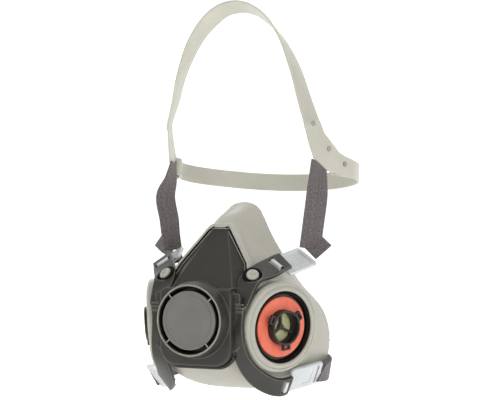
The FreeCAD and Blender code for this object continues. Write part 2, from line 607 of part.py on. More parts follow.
def neck_route(swing):
    """Stations of half of the neck strap, when its buckle has swung out by an angle in degrees."""
    bar, e1, e2, out = buckle_frame(LOWER_SLOT, LOWER_SLOT_ALONG, LOWER_BUCKLE_DIR)
    turn = FreeCAD.Rotation(e2, swing)
    level = -YOKE_T / 2 - BUCKLE_GAP - BUCKLE_T / 2 + STRAP_T / 2
    far = bar + turn.multVec(e1 * (BUCKLE_LENGTH - BAR_SET_BACK + 0.4) + out * level)
    reach = 0.28 * swing
    return [
        (far, turn.multVec(e2), STRAP_HALF_W),
        (V(60.5 + reach, 3.0, -55.5 - reach / 2), V(-0.30, 0.20, -0.93), STRAP_HALF_W),
        (V(56.5 + reach / 2, 14.0, -53.5 - reach / 3), V(-0.15, 0.05, -0.98), STRAP_HALF_W),
        (V(46.0, 24.0, -51.5), V(-0.05, 0, -1), STRAP_HALF_W),
        (V(30.0, 30.0, -50.0), V(0, 0, -1), STRAP_HALF_W),
        (V(16.5, 32.0, -49.2), V(0, 0, -1), STRAP_HALF_W),
    ]


def make_neck_strap(swing):
    return strip(neck_route(swing), STRAP_T)


def make_lower_buckle(swing):
    buckle = make_buckle(LOWER_SLOT, LOWER_SLOT_ALONG, LOWER_BUCKLE_DIR)
    bar, _, e2, _ = buckle_frame(LOWER_SLOT, LOWER_SLOT_ALONG, LOWER_BUCKLE_DIR)
    return buckle.rotate(bar, e2, swing)


def make_neck_clip(hooked):
    """The end fitting of a neck strap: an open hook on one side, a closed loop on the other."""
    middle = V(10.0, 32.0, -49.0)
    body = block(middle, X_AXIS, Z_AXIS, 11.0, 19.0, 3.0)
    body = rounded(body, 2.0, lambda e: abs(e.Length - 3.0) < 0.01)
    strap_slot = block(middle + V(3.0, 0, 0), X_AXIS, Z_AXIS, 2.4, 15.4, 6)
    mouth = block(middle + V(-1.8, 0, 0), X_AXIS, Z_AXIS, 3.4, 13.0, 6)
    body = body.cut([strap_slot, mouth])
    if hooked:
        body = body.cut(block(middle + V(-4.4, 0, 5.0), X_AXIS, Z_AXIS, 4.0, 4.4, 6))
    return body


# ---------------------------------------------------------------- assembly

def build():
    stud = make_stud()
    frame = make_front_frame(yoke_wing()).cut([stud, mirrored(stud)])
    yoke = make_yoke()
    facepiece = make_facepiece(yoke, frame).cut([stud, mirrored(stud)])
    crown = make_crown_band()
    left = {
        "inhalation_port": make_port(),
        "port_gasket": make_gasket(),
        "inhalation_valve_flap": make_inhalation_flap(),
        "yoke_stud": stud,
        "upper_buckle": make_buckle(UPPER_SLOT, UPPER_SLOT_ALONG, UPPER_BUCKLE_DIR),
        "cradle_snaps": make_snaps().cut(crown),
    }
    nodes = {
        **facepiece_regions(facepiece),
        "front_frame": frame,
        "harness_yoke": yoke,
        "exhalation_valve_seat": make_valve_seat(),
        "exhalation_valve_flap": make_exhalation_flap(),
        "exhalation_valve_cover": make_valve_cover(),
        "crown_band": crown,
        "rear_band": make_rear_band(),
        "left_upper_strap": make_left_upper_strap(),
        "right_upper_strap": make_right_upper_strap(),
        "left_lower_buckle": make_lower_buckle(0),
        "right_lower_buckle": mirrored(make_lower_buckle(RIGHT_SWING)),
        "left_neck_strap": make_neck_strap(0),
        "right_neck_strap": mirrored(make_neck_strap(RIGHT_SWING)),
        "neck_strap_hook": make_neck_clip(True),
        "neck_strap_loop": mirrored(make_neck_clip(False)),
    }
    for name, shape in left.items():
        nodes["left_" + name] = shape
        nodes["right_" + name] = mirrored(shape)
    return nodes


def main():
    os.makedirs("parts", exist_ok=True)
    bar, _, pivot, _ = buckle_frame(LOWER_SLOT, LOWER_SLOT_ALONG, LOWER_BUCKLE_DIR)
    print("left lower buckle turns about", tuple(bar), "along", tuple(pivot))
    print("left port's axis", tuple(PORT_AXIS))
    for name, shape in build().items():
        print("%-32s solids %d valid %s volume %.0f mm3" % (name, len(shape.Solids), shape.isValid(), shape.Volume))
        shape.exportStep("parts/%s.step" % name)


main()
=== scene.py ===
"""Looks of a half-facepiece respirator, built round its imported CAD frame.

Metres, +Z up, the front of the mask looks along -Y. "left" and "right" are the wearer's, so left is +X.
"""

import math

import bmesh
import bpy
import numpy as np
from mathutils import Matrix, Vector
from mathutils.bvhtree import BVHTree


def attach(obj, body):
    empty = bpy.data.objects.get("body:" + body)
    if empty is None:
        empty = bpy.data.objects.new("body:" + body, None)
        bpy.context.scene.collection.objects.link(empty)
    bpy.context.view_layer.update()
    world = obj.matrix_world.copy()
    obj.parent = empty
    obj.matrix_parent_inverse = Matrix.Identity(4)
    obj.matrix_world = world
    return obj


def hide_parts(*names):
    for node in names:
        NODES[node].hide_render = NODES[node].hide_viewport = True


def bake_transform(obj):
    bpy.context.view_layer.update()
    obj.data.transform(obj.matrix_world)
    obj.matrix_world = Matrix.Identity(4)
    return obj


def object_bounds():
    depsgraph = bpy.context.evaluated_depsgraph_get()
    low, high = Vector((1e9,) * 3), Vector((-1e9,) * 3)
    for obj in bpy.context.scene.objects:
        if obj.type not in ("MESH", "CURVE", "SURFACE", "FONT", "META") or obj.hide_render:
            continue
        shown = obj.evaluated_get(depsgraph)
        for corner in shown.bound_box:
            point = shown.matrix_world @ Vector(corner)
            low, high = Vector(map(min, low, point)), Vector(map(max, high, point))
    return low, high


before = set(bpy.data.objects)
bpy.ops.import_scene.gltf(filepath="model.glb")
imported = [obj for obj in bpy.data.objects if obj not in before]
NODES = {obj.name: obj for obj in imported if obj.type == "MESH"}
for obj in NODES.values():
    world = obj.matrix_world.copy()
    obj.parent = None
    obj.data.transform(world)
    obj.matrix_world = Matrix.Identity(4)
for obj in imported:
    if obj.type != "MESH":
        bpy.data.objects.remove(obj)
cad_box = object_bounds()

MM = 0.001

# Camera and stage
CAMERA_AZIMUTH = 26.0
CAMERA_PLACE = (0.5514, -1.1262, 0.0632)
CAMERA_LENS, CAMERA_SENSOR = 127.06, 36.0

# Facepiece
VOXEL = 0.6 * MM
BEAD_RADIUS = 1.15 * MM
PORT_CENTRE, PORT_AXIS = (49.2, -48.0, -22.4), (0.9041, -0.42159, -0.069756)
STUD_CENTRE, STUD_AXIS = (33.5, -60.3, 13.0), (0.34, -0.66, 0.67)
PLEAT_X, PLEAT_Z, PLEAT_PITCH, PLEAT_DEPTH = (-13.0, 1.0), (46.0, 63.5), 2.6, 0.34 * MM

# Exhalation cover: the height of its axis and the radius of its grey disc, in millimetres
EXHALE_Z, DISC_RADIUS = -17.0, 19.85

# Elastic
STRAP_HALF_WIDTH, STRAP_THICKNESS = 7.5 * MM, 1.4 * MM
RIB_COLUMNS = 4                # mesh columns in one rib
SELVEDGE_INSET = 0.30          # how far the two edges are drawn in, as a part of the thickness
BACK_FACE_U = 0.04             # metres from the front's texture to the back's


# ---------------------------------------------------------------- materials

class Shader:
    """A node material built step by step around one Principled shader."""

    def __init__(self, name):
        self.material = bpy.data.materials.new(name)
        self.material.use_nodes = True
        self.tree = self.material.node_tree
        self.main = self.tree.nodes["Principled BSDF"]
        self.object = self.node("ShaderNodeTexCoord").outputs["Object"]
        self.uv = self.object.node.outputs["UV"]

    def node(self, kind, **inputs):
        made = self.tree.nodes.new(kind)
        for key, value in inputs.items():
            self.put(made.inputs[key.replace("_", " ")], value)
        return made

    def put(self, socket, value):
        if isinstance(value, bpy.types.NodeSocket):
            self.tree.links.new(value, socket)
        else:
            socket.default_value = value

    def noise(self, scale, detail=3.0, vector=None, roughness=0.55):
        made = self.node("ShaderNodeTexNoise", Scale=scale, Detail=detail, Roughness=roughness)
        self.put(made.inputs["Vector"], vector or self.object)
        return made.outputs["Fac"]

    def math(self, operation, a, b=0.0, c=0.0):
        made = self.tree.nodes.new("ShaderNodeMath")
        made.operation = operation
        for socket, value in zip(made.inputs, (a, b, c)):
            self.put(socket, value)
        return made.outputs[0]

    def ramp(self, factor, *stops):
        made = self.node("ShaderNodeValToRGB")
        self.put(made.inputs["Fac"], factor)
        elements = made.color_ramp.elements
        while len(elements) < len(stops):
            elements.new(0.5)
        for element, (place, colour) in zip(elements, stops):
            element.position = place
            element.color = (*colour, 1.0) if not isinstance(colour, float) else (colour,) * 3 + (1.0,)
        return made.outputs["Color"]

    def mix(self, factor, a, b, blend="MIX"):
        made = self.tree.nodes.new("ShaderNodeMix")
        made.data_type = "RGBA"
        made.blend_type = blend
        self.put(made.inputs[0], factor)
        for socket, value in ((made.inputs[6], a), (made.inputs[7], b)):
            self.put(socket, value if isinstance(value, bpy.types.NodeSocket) else (*value, 1.0))
        return made.outputs[2]

    def stretched(self, x, y, z, source=None):
        made = self.node("ShaderNodeMapping")
        self.put(made.inputs["Vector"], source or self.object)
        made.inputs["Scale"].default_value = (x, y, z)
        return made.outputs["Vector"]

    def edges(self, radius):
        """0 on flat ground, rising on sharp corners; the materials use it to paint highlights along edges."""
        bevel = self.node("ShaderNodeBevel", Radius=radius)
        bevel.samples = 4
        geometry = self.node("ShaderNodeNewGeometry")
        dot = self.tree.nodes.new("ShaderNodeVectorMath")
        dot.operation = "DOT_PRODUCT"
        self.put(dot.inputs[0], bevel.outputs["Normal"])
        self.put(dot.inputs[1], geometry.outputs["Normal"])
        return self.ramp(self.math("SUBTRACT", 1.0, dot.outputs["Value"]), (0.01, 0.0), (0.16, 1.0))

    def bump(self, height, distance, strength=1.0, below=None):
        made = self.node("ShaderNodeBump", Height=height, Distance=distance, Strength=strength)
        if below is not None:
            self.put(made.inputs["Normal"], below)
        return made.outputs["Normal"]

    def finish(self, **inputs):
        for key, value in inputs.items():
            self.put(self.main.inputs[key.replace("_", " ")], value)
        return self.material


def facepiece_elastomer():
    s = Shader("facepiece_elastomer")
    cloud = s.ramp(s.noise(38.0, 4.0), (0.30, (0.450, 0.434, 0.372)), (0.72, (0.515, 0.500, 0.436)))
    specks = s.ramp(s.noise(900.0, 2.0), (0.30, (0.90, 0.90, 0.89)), (0.62, (1.0, 1.0, 1.0)))
    colour = s.mix(0.55, cloud, specks, "MULTIPLY")
    # Painted highlight: sharp edges are lightened towards a pale grey.
    colour = s.mix(s.math("MULTIPLY", s.edges(0.0011), 0.30), colour, (0.60, 0.587, 0.52))
    rough = s.math("MULTIPLY_ADD", s.noise(160.0), 0.16, 0.36)
    grain = s.bump(s.noise(2600.0, 2.0), 0.00006, 0.55)
    waves = s.bump(s.noise(110.0, 2.0), 0.00035, 0.30, grain)
    return s.finish(Base_Color=colour, Roughness=rough, Normal=waves, Subsurface_Weight=0.08,
                    Subsurface_Radius=(0.004, 0.003, 0.002), Subsurface_Scale=0.4, IOR=1.46)


def dark_plastic():
    s = Shader("dark_plastic")
    cloud = s.ramp(s.noise(55.0, 3.0), (0.30, (0.028, 0.026, 0.021)), (0.70, (0.037, 0.035, 0.028)))
    # Painted highlight: patchy pale lines along the sharp edges.
    edge_highlight = s.math("MULTIPLY", s.edges(0.0011), s.math("MULTIPLY_ADD", s.noise(260.0), 0.50, 0.50))
    colour = s.mix(edge_highlight, cloud, (0.300, 0.287, 0.240))
    rough = s.math("MULTIPLY_ADD", s.noise(420.0, 4.0), 0.20, 0.33)
    return s.finish(Base_Color=colour, Roughness=rough, Normal=s.bump(s.noise(3200.0, 2.0), 0.00005, 0.6))


def port_plastic():
    s = Shader("port_plastic")
    cloud = s.ramp(s.noise(90.0), (0.3, (0.009, 0.009, 0.009)), (0.7, (0.016, 0.016, 0.015)))
    # Painted highlight: sharp edges are lightened a little.
    colour = s.mix(s.math("MULTIPLY", s.edges(0.0004), 0.35), cloud, (0.085, 0.084, 0.080))
    rough = s.math("MULTIPLY_ADD", s.noise(500.0), 0.18, 0.26)
    return s.finish(Base_Color=colour, Roughness=rough, Normal=s.bump(s.noise(2400.0), 0.00004, 0.5))


def cover_plastic():
    """The disc is mid-grey; the ring round it is painted near-black and dull, as painted shade of the open
    gap around the disc.
    """
    s = Shader("cover_plastic")
    parts = s.node("ShaderNodeSeparateXYZ")
    s.put(parts.inputs[0], s.object)
    height = s.math("SUBTRACT", parts.outputs["Z"], EXHALE_Z * MM)
    radius = s.math("SQRT", s.math("ADD", s.math("MULTIPLY", parts.outputs["X"], parts.outputs["X"]),
                                   s.math("MULTIPLY", height, height)))
    disc = s.ramp(s.noise(70.0), (0.3, (0.145, 0.140, 0.127)), (0.7, (0.178, 0.172, 0.157)))
    # Painted highlight: the disc's sharp edges are lightened.
    disc = s.mix(s.math("MULTIPLY", s.edges(0.0005), 0.5), disc, (0.32, 0.31, 0.28))
    # Painted shade: outside the disc's radius the colour is near-black, dull and less shiny.
    ring = s.math("GREATER_THAN", radius, DISC_RADIUS * MM)
    colour = s.mix(ring, disc, (0.004, 0.004, 0.004))
    rough = s.math("MULTIPLY_ADD", s.noise(300.0, 4.0), 0.16, s.math("MULTIPLY_ADD", ring, 0.4, 0.34))
    shine = s.math("MULTIPLY_ADD", ring, -0.4, 0.5)
    return s.finish(Base_Color=colour, Roughness=rough, Specular_IOR_Level=shine,
                    Normal=s.bump(s.noise(3000.0, 2.0), 0.00004, 0.6))


def rim_plastic():
    """Pale plastic of thin raised lines; on the plate's rim and the shroud's lip it paints a highlight along
    an edge.
    """
    s = Shader("rim_plastic")
    colour = s.ramp(s.noise(240.0, 3.0), (0.3, (0.270, 0.258, 0.215)), (0.7, (0.400, 0.385, 0.325)))
    rough = s.math("MULTIPLY_ADD", s.noise(420.0, 4.0), 0.20, 0.33)
    return s.finish(Base_Color=colour, Roughness=rough, Normal=s.bump(s.noise(3200.0, 2.0), 0.00005, 0.6))


def gap_black():
    """Dull black, painted shade in deep gaps and on inner walls."""
    s = Shader("gap_black")
    colour = s.ramp(s.noise(200.0, 3.0), (0.3, (0.003, 0.003, 0.003)), (0.7, (0.008, 0.008, 0.007)))
    rough = s.math("MULTIPLY_ADD", s.noise(300.0, 3.0), 0.15, 0.62)
    return s.finish(Base_Color=colour, Roughness=rough, Specular_IOR_Level=0.12,
                    Normal=s.bump(s.noise(1500.0, 2.0), 0.00008, 0.5))


def gasket_rubber():
    s = Shader("gasket_rubber")
    cloud = s.ramp(s.noise(120.0, 3.0), (0.3, (0.80, 0.155, 0.085)), (0.7, (0.90, 0.205, 0.120)))
    # Painted highlight: sharp edges are lightened towards pale salmon.
    colour = s.mix(s.math("MULTIPLY", s.edges(0.0006), 0.45), cloud, (0.90, 0.36, 0.25))
    rough = s.math("MULTIPLY_ADD", s.noise(600.0), 0.2, 0.36)
    return s.finish(Base_Color=colour, Roughness=rough, Normal=s.bump(s.noise(1800.0), 0.00006, 0.6),
                    Subsurface_Weight=0.12, Subsurface_Radius=(0.003, 0.001, 0.0006), Subsurface_Scale=0.5)


def flap_rubber():
    s = Shader("flap_rubber")
    colour = s.ramp(s.noise(200.0, 3.0), (0.3, (0.52, 0.49, 0.25)), (0.7, (0.64, 0.61, 0.34)))
    return s.finish(Base_Color=colour, Roughness=s.math("MULTIPLY_ADD", s.noise(500.0), 0.15, 0.30),
                    Normal=s.bump(s.noise(900.0), 0.00006, 0.5), Subsurface_Weight=0.15,
                    Subsurface_Radius=(0.002, 0.002, 0.001), Subsurface_Scale=0.5)


def buckle_plastic():
    """Milky, slightly see-through moulding, bluer in the thick middle of its plate."""
    s = Shader("buckle_plastic")
    cloud = s.ramp(s.noise(95.0, 2.0), (0.40, (0.68, 0.69, 0.69)), (0.62, (0.61, 0.65, 0.68)))
    # Painted highlight: sharp edges are lightened towards near-white.
    colour = s.mix(s.math("MULTIPLY", s.edges(0.0007), 0.5), cloud, (0.84, 0.84, 0.83))
    rough = s.math("MULTIPLY_ADD", s.noise(400.0), 0.14, 0.16)
    return s.finish(Base_Color=colour, Roughness=rough, Normal=s.bump(s.noise(1500.0), 0.00005, 0.4),
                    Subsurface_Weight=0.30, Subsurface_Radius=(0.004, 0.004, 0.004), Subsurface_Scale=0.6)


def band_plastic():
    s = Shader("band_plastic")
    cloud = s.ramp(s.noise(30.0, 3.0), (0.3, (0.530, 0.518, 0.440)), (0.7, (0.590, 0.578, 0.500)))
    flow = s.noise(1.0, 3.0, s.stretched(140.0, 140.0, 900.0))
    colour = s.mix(0.22, cloud, s.ramp(flow, (0.35, (0.84, 0.84, 0.82)), (0.65, (1.0, 1.0, 1.0))), "MULTIPLY")
    # Painted highlight: sharp edges are lightened.
    colour = s.mix(s.math("MULTIPLY", s.edges(0.0006), 0.4), colour, (0.78, 0.77, 0.70))
    rough = s.math("MULTIPLY_ADD", s.noise(350.0), 0.18, 0.30)
    return s.finish(Base_Color=colour, Roughness=rough, Normal=s.bump(s.noise(1900.0), 0.00005, 0.5),
                    Subsurface_Weight=0.10, Subsurface_Radius=(0.003, 0.003, 0.002), Subsurface_Scale=0.4)


def elastic_webbing():
    """Knitted elastic: U runs across it and V along it, both in metres."""
    rib_pitch, stitch_pitch = 1.15 * MM, 0.85 * MM
    s = Shader("elastic_webbing")
    parts = s.node("ShaderNodeSeparateXYZ")
    s.put(parts.inputs[0], s.uv)
    across, along = parts.outputs["X"], parts.outputs["Y"]
    rib = s.math("SINE", s.math("MULTIPLY", across, 2 * math.pi / rib_pitch))
    slant = s.math("ADD", s.math("MULTIPLY", along, 2 * math.pi / stitch_pitch), s.math("MULTIPLY", rib, 1.6))
    stitch = s.math("SINE", slant)
    threads = s.noise(1.0, 3.0, s.stretched(1500.0, 620.0, 1.0, s.uv), 0.7)
    weave = s.math("ADD", s.math("MULTIPLY", stitch, 0.32), s.math("MULTIPLY_ADD", threads, 3.4, -1.1))
    base = s.ramp(s.math("MULTIPLY_ADD", weave, 0.50, 0.30), (0.05, (0.040, 0.033, 0.034)),
                  (0.50, (0.108, 0.093, 0.095)), (0.98, (0.290, 0.262, 0.262)))
    stripe = s.ramp(s.noise(1.0, 2.0, s.stretched(900.0, 14.0, 1.0, s.uv)), (0.35, (0.80, 0.80, 0.80)),
                    (0.62, (1.10, 1.08, 1.08)))
    colour = s.mix(0.8, base, stripe, "MULTIPLY")
    return s.finish(Base_Color=colour, Roughness=0.82, Normal=s.bump(weave, 0.00022, 0.9), Sheen_Weight=0.35,
                    Sheen_Roughness=0.5)


MATERIALS = {make.__name__: make() for make in (
    facepiece_elastomer, dark_plastic, port_plastic, cover_plastic, rim_plastic, gap_black, gasket_rubber,
    flap_rubber, buckle_plastic, band_plastic, elastic_webbing)}


# ---------------------------------------------------------------- mesh helpers

def dressed(name, mesh, slot, replaced=()):
    """A new smooth object of the mesh in its material, in the row frame. It still has to be given a body."""
    obj = bpy.data.objects.new(name, mesh)
    bpy.context.scene.collection.objects.link(obj)
    mesh.materials.clear()
    mesh.materials.append(MATERIALS[slot])
    for polygon in mesh.polygons:
        polygon.use_smooth = True
    if replaced:
        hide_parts(*replaced)
    return obj


def new_piece(name, mesh, body, slot, replaced=()):
    """A finished piece that moves with one body."""
    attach(dressed(name, mesh, slot, replaced), body)


def as_mesh(bm, name, turned=True):
    """bm as a new mesh, with its faces turned outward first unless told not to. bm is freed."""
    if turned:
        bmesh.ops.recalc_face_normals(bm, faces=bm.faces)
    mesh = bpy.data.meshes.new(name)
    bm.to_mesh(mesh)
    bm.free()
    return mesh


def applied(obj):
    """The object's mesh with its modifiers applied, as a new mesh."""
    graph = bpy.context.evaluated_depsgraph_get()
    return bpy.data.meshes.new_from_object(obj.evaluated_get(graph))


def spline(points, count):
    """Catmull-Rom through the points, as count points evenly spread over its knots."""
    ends = [points[0] * 2 - points[1]] + list(points) + [points[-1] * 2 - points[-2]]
    result = []
    for k in range(count):
        t = k / (count - 1) * (len(points) - 1)
        i = min(int(t), len(points) - 2)
        f = t - i
        a, b, c, d = ends[i:i + 4]
        result.append(0.5 * (2 * b + (c - a) * f + (2 * a - 5 * b + 4 * c - d) * f * f
                             + (3 * b - a - 3 * c + d) * f ** 3))
    return result


def ribbon(stations, ribs, rib_height, rows, half=STRAP_HALF_WIDTH, thickness=STRAP_THICKNESS):
    """A flat ribbed band through (centre, direction across). Its thickness lies away from along x across."""
    centres = spline([Vector(c) * MM for c, _ in stations], rows)
    acrosses = spline([Vector(a).normalized() for _, a in stations], rows)
    columns = ribs * RIB_COLUMNS + 1
    mesh_points, uvs, run = [], [], 0.0
    for k, (centre, across) in enumerate(zip(centres, acrosses)):
        along = (centres[min(k + 1, rows - 1)] - centres[max(k - 1, 0)]).normalized()
        w = (across - along * across.dot(along)).normalized()
        back = w.cross(along)
        run += (centre - centres[k - 1]).length if k else 0.0
        row, row_uv = [], []
        for side in (0, 1):
            for j in range(columns):
                u = -1 + 2 * j / (columns - 1)
                u = u if side == 0 else -u
                swell = rib_height * (0.5 - 0.5 * math.cos(2 * math.pi * ribs * (u + 1) / 2))
                edge = SELVEDGE_INSET * thickness if abs(u) > 0.999 else 0.0
                depth = (rib_height - swell) + edge
                depth = depth if side == 0 else thickness - depth
                row.append(centre + w * (u * half) + back * depth)
                row_uv.append((u * half + (0.0 if side == 0 else BACK_FACE_U), run))
        mesh_points.append(row)
        uvs.append(row_uv)
    bm = bmesh.new()
    layer = bm.loops.layers.uv.new("UVMap")
    grid = [[bm.verts.new(p) for p in row] for row in mesh_points]
    total = 2 * columns
    for k in range(rows - 1):
        for j in range(total):
            n = (j + 1) % total
            face = bm.faces.new((grid[k][j], grid[k][n], grid[k + 1][n], grid[k + 1][j]))
            for loop, (a, b) in zip(face.loops, ((k, j), (k, n), (k + 1, n), (k + 1, j))):
                loop[layer].uv = uvs[a][b]
    for k in (0, rows - 1):
        for j in range(columns - 1):
            face = bm.faces.new((grid[k][j], grid[k][j + 1], grid[k][total - 2 - j], grid[k][total - 1 - j]))
            for loop in face.loops:
                loop[layer].uv = (loop.vert.co.x, loop.vert.co.z)
    return as_mesh(bm, "ribbon")


def tube(bm, points, radius, sides=10):
    """Adds a closed round tube along the points to bm."""
    rings = []
    for k, point in enumerate(points):
        along = (points[min(k + 1, len(points) - 1)] - points[max(k - 1, 0)]).normalized()
        helper = Vector((0, 0, 1)) if abs(along.z) < 0.9 else Vector((1, 0, 0))
        a = along.cross(helper).normalized()
        b = along.cross(a)
        ring = [bm.verts.new(point + (a * math.cos(t) + b * math.sin(t)) * radius)
                for t in (2 * math.pi * j / sides for j in range(sides))]
        rings.append(ring)
    for low, high in zip(rings, rings[1:]):
        for j in range(sides):
            bm.faces.new((low[j], low[(j + 1) % sides], high[(j + 1) % sides], high[j]))
    bm.faces.new(rings[0])
    bm.faces.new(list(reversed(rings[-1])))


def hoop(bm, centre, axis, radius, thick, steps, sides=8):
    """Adds a closed round ring to bm."""
    first = axis.orthogonal().normalized()
    second = axis.cross(first).normalized()
    rings = []
    for k in range(steps):
        turn = 2 * math.pi * k / steps
        out = first * math.cos(turn) + second * math.sin(turn)
        rings.append([bm.verts.new(centre + out * (radius + thick * math.cos(a))
                                   + axis * (thick * math.sin(a)))
                      for a in (2 * math.pi * j / sides for j in range(sides))])
    for k in range(steps):
        low, high = rings[k], rings[(k + 1) % steps]
        for j in range(sides):
            bm.faces.new((low[j], low[(j + 1) % sides], high[(j + 1) % sides], high[j]))


def joined(*meshes):
    """The meshes in one new mesh."""
    bm = bmesh.new()
    for mesh in meshes:
        bm.from_mesh(mesh)
    return as_mesh(bm, "joined", turned=False)


# ---------------------------------------------------------------- facepiece

FACEPIECE_NODES = sorted(name for name in NODES if name.startswith("facepiece"))

# The axis and level of the faces where the CAD regions meet, and how near to a level a face has to be.
REGION_SEAMS, SEAM_TOLERANCE = ((2, 10.0), (2, -46.0), (0, 22.0), (0, -22.0)), 0.004

# The inner wall behind the plate: (z, y) of the plate's back at the wall's two ends, then the wall's half
# width, its gap to the plate and its thickness.
INNER_WALL = ((15.0, -59.5), (43.5, -39.0))
INNER_WALL_HALF_WIDTH, INNER_WALL_GAP, INNER_WALL_THICKNESS = 8.0, 0.35, 2.0

# The bead that frames the triangular plate, and the plate's own edge, as (x, z) on the wearer's left.
BEAD_LINE = ((0.0, 46.1), (6.9, 46.1), (26.0, 20.2), (28.6, 13.5))
PLATE_EDGE = ((0.0, 44.6), (6.3, 44.6), (24.7, 20.4), (27.4, 12.5))
BEAD_DEPTHS = (0.0, 1.5, 3.0, 4.5)     # the bead is a stack of tubes that reach back into the moulding
RIM_INSET, RIM_DROP = 0.9, 1.0         # how far the rim lies inside the gap's line
RIM_TOP_HALF_WIDTH = 8.0               # nearer to the middle than this, the rim isn't moved sideways
APEX_HALF_WIDTH = 7.5                  # nearer to the middle than this, the plate's edge runs level
DOWN_SHARE = 0.8                       # how far down a level is taken, for each millimetre inward
FRONT_Y = -130.0                       # rays start here, in front of the mask


def along_line(corners, step):
    """Points about a step apart on a line through the corners."""
    result = []
    for (x0, z0), (x1, z1) in zip(corners, corners[1:]):
        count = max(2, round(math.hypot(x1 - x0, z1 - z0) / step))
        result += [(x0 + (x1 - x0) * k / count, z0 + (z1 - z0) * k / count) for k in range(count)]
    return result + [corners[-1]]


def frame_tree():
    """The front frame's surface, for rays."""
    bm = bmesh.new()
    bm.from_mesh(NODES["front_frame"].data)
    tree = BVHTree.FromBMesh(bm)
    bm.free()
    return tree


PLATE_TREE = frame_tree()


def on_plate(x, z, inward, lift):
    """A point at x and z, lifted forward off the plate, whose level is taken a little inside its edge."""
    side = 1 if x >= 0 else -1
    sideways = inward if abs(x) > APEX_HALF_WIDTH else 0.0
    start = Vector((x - side * sideways, FRONT_Y, z - inward * DOWN_SHARE)) * MM
    hit = PLATE_TREE.ray_cast(start, Vector((0, 1, 0)))[0]
    return None if hit is None else Vector((x * MM, hit.y - lift * MM, z * MM))


def both_sides(line, step):
    """The points of a half outline from the wearer's right end over the top to the left end."""
    half = along_line(line, step)
    return [(-x, z) for x, z in reversed(half[1:])] + half


def plate_route(line, inward, lift, step=1.5):
    """A line over the plate, in metres, without the points that have no plate behind them."""
    return [point for point in (on_plate(x, z, inward, lift) for x, z in both_sides(line, step)) if point]


def add_inner_wall(bm):
    """The soft wall between the wearer's nose and the back of the plate."""
    corners = [bm.verts.new(Vector((x, y + INNER_WALL_GAP + depth, z)) * MM)
               for depth in (0.0, INNER_WALL_THICKNESS)
               for z, y in INNER_WALL
               for x in (-INNER_WALL_HALF_WIDTH, INNER_WALL_HALF_WIDTH)]
    for quad in ((0, 1, 3, 2), (4, 6, 7, 5), (0, 4, 5, 1), (2, 3, 7, 6), (0, 2, 6, 4), (1, 5, 7, 3)):
        bm.faces.new([corners[k] for k in quad])


def facepiece_mesh():
    """The CAD regions as one soft moulding, with the raised bead round the plate."""
    bm = bmesh.new()
    for name in FACEPIECE_NODES:
        bm.from_mesh(NODES[name].data)
    inner = [f for f in bm.faces
             if any(all(abs(v.co[axis] / MM - level) < SEAM_TOLERANCE for v in f.verts)
                    for axis, level in REGION_SEAMS)]
    bmesh.ops.delete(bm, geom=inner, context="FACES")
    bmesh.ops.remove_doubles(bm, verts=bm.verts, dist=0.01 * MM)
    add_inner_wall(bm)
    bead = plate_route(BEAD_LINE, 2.4, -0.4)
    for depth in BEAD_DEPTHS:
        tube(bm, [point + Vector((0, depth * MM, 0)) for point in bead], BEAD_RADIUS)
    work = bpy.data.objects.new("facepiece_work", as_mesh(bm, "facepiece", turned=False))
    bpy.context.scene.collection.objects.link(work)
    remesh = work.modifiers.new("voxels", "REMESH")
    remesh.mode = "VOXEL"
    remesh.voxel_size = VOXEL
    smooth = work.modifiers.new("soften", "SMOOTH")
    smooth.factor, smooth.iterations = 0.5, 4
    result = applied(work)
    bpy.data.objects.remove(work)
    add_pleats(result)
    return result


def add_pleats(mesh):
    """Faint upright folds on the front of the nose, on the wearer's right."""
    count = len(mesh.vertices)
    places, normals = np.empty(count * 3), np.empty(count * 3)
    mesh.vertices.foreach_get("co", places)
    mesh.vertices.foreach_get("normal", normals)
    places, normals = places.reshape(-1, 3), normals.reshape(-1, 3)
    x, z = places[:, 0] / MM, places[:, 2] / MM
    across = np.sin(np.pi * np.clip((x - PLEAT_X[0]) / (PLEAT_X[1] - PLEAT_X[0]), 0, 1))
    up = np.sin(np.pi * np.clip((z - PLEAT_Z[0]) / (PLEAT_Z[1] - PLEAT_Z[0]), 0, 1))
    depth = PLEAT_DEPTH * across * up * np.cos(2 * np.pi * x / PLEAT_PITCH) * (normals[:, 1] < -0.2)
    mesh.vertices.foreach_set("co", (places + normals * depth[:, None]).ravel())
    mesh.update()


new_piece("facepiece_moulding", facepiece_mesh(), "mask", "facepiece_elastomer", FACEPIECE_NODES)


def line_piece(name, route, radius, slot, body="mask"):
    """A thin round line along the route, which is in metres. Its radius is in millimetres."""
    bm = bmesh.new()
    tube(bm, route, radius * MM, 8)
    new_piece(name, as_mesh(bm, name), body, slot)


def rim_point(point):
    """A point of the gap's line moved in and down, onto the plate's own edge."""
    side = math.copysign(1, point.x) if abs(point.x) > RIM_TOP_HALF_WIDTH * MM else 0
    return point + Vector((-side * RIM_INSET * MM, 0, -RIM_DROP * MM))


# Painted shade: a black line in the gap round the plate.
line_piece("plate_gap", plate_route(PLATE_EDGE, 1.6, -0.25), 0.62, "gap_black")
# Painted highlight: a thin pale line along the plate's edge.
rim_route = [rim_point(point) for point in plate_route(PLATE_EDGE, 1.6, 0.05)]
line_piece("plate_rim", rim_route, 0.36, "rim_plastic")


# ---------------------------------------------------------------- studs, port wells, cover details and the painted shadow under the box

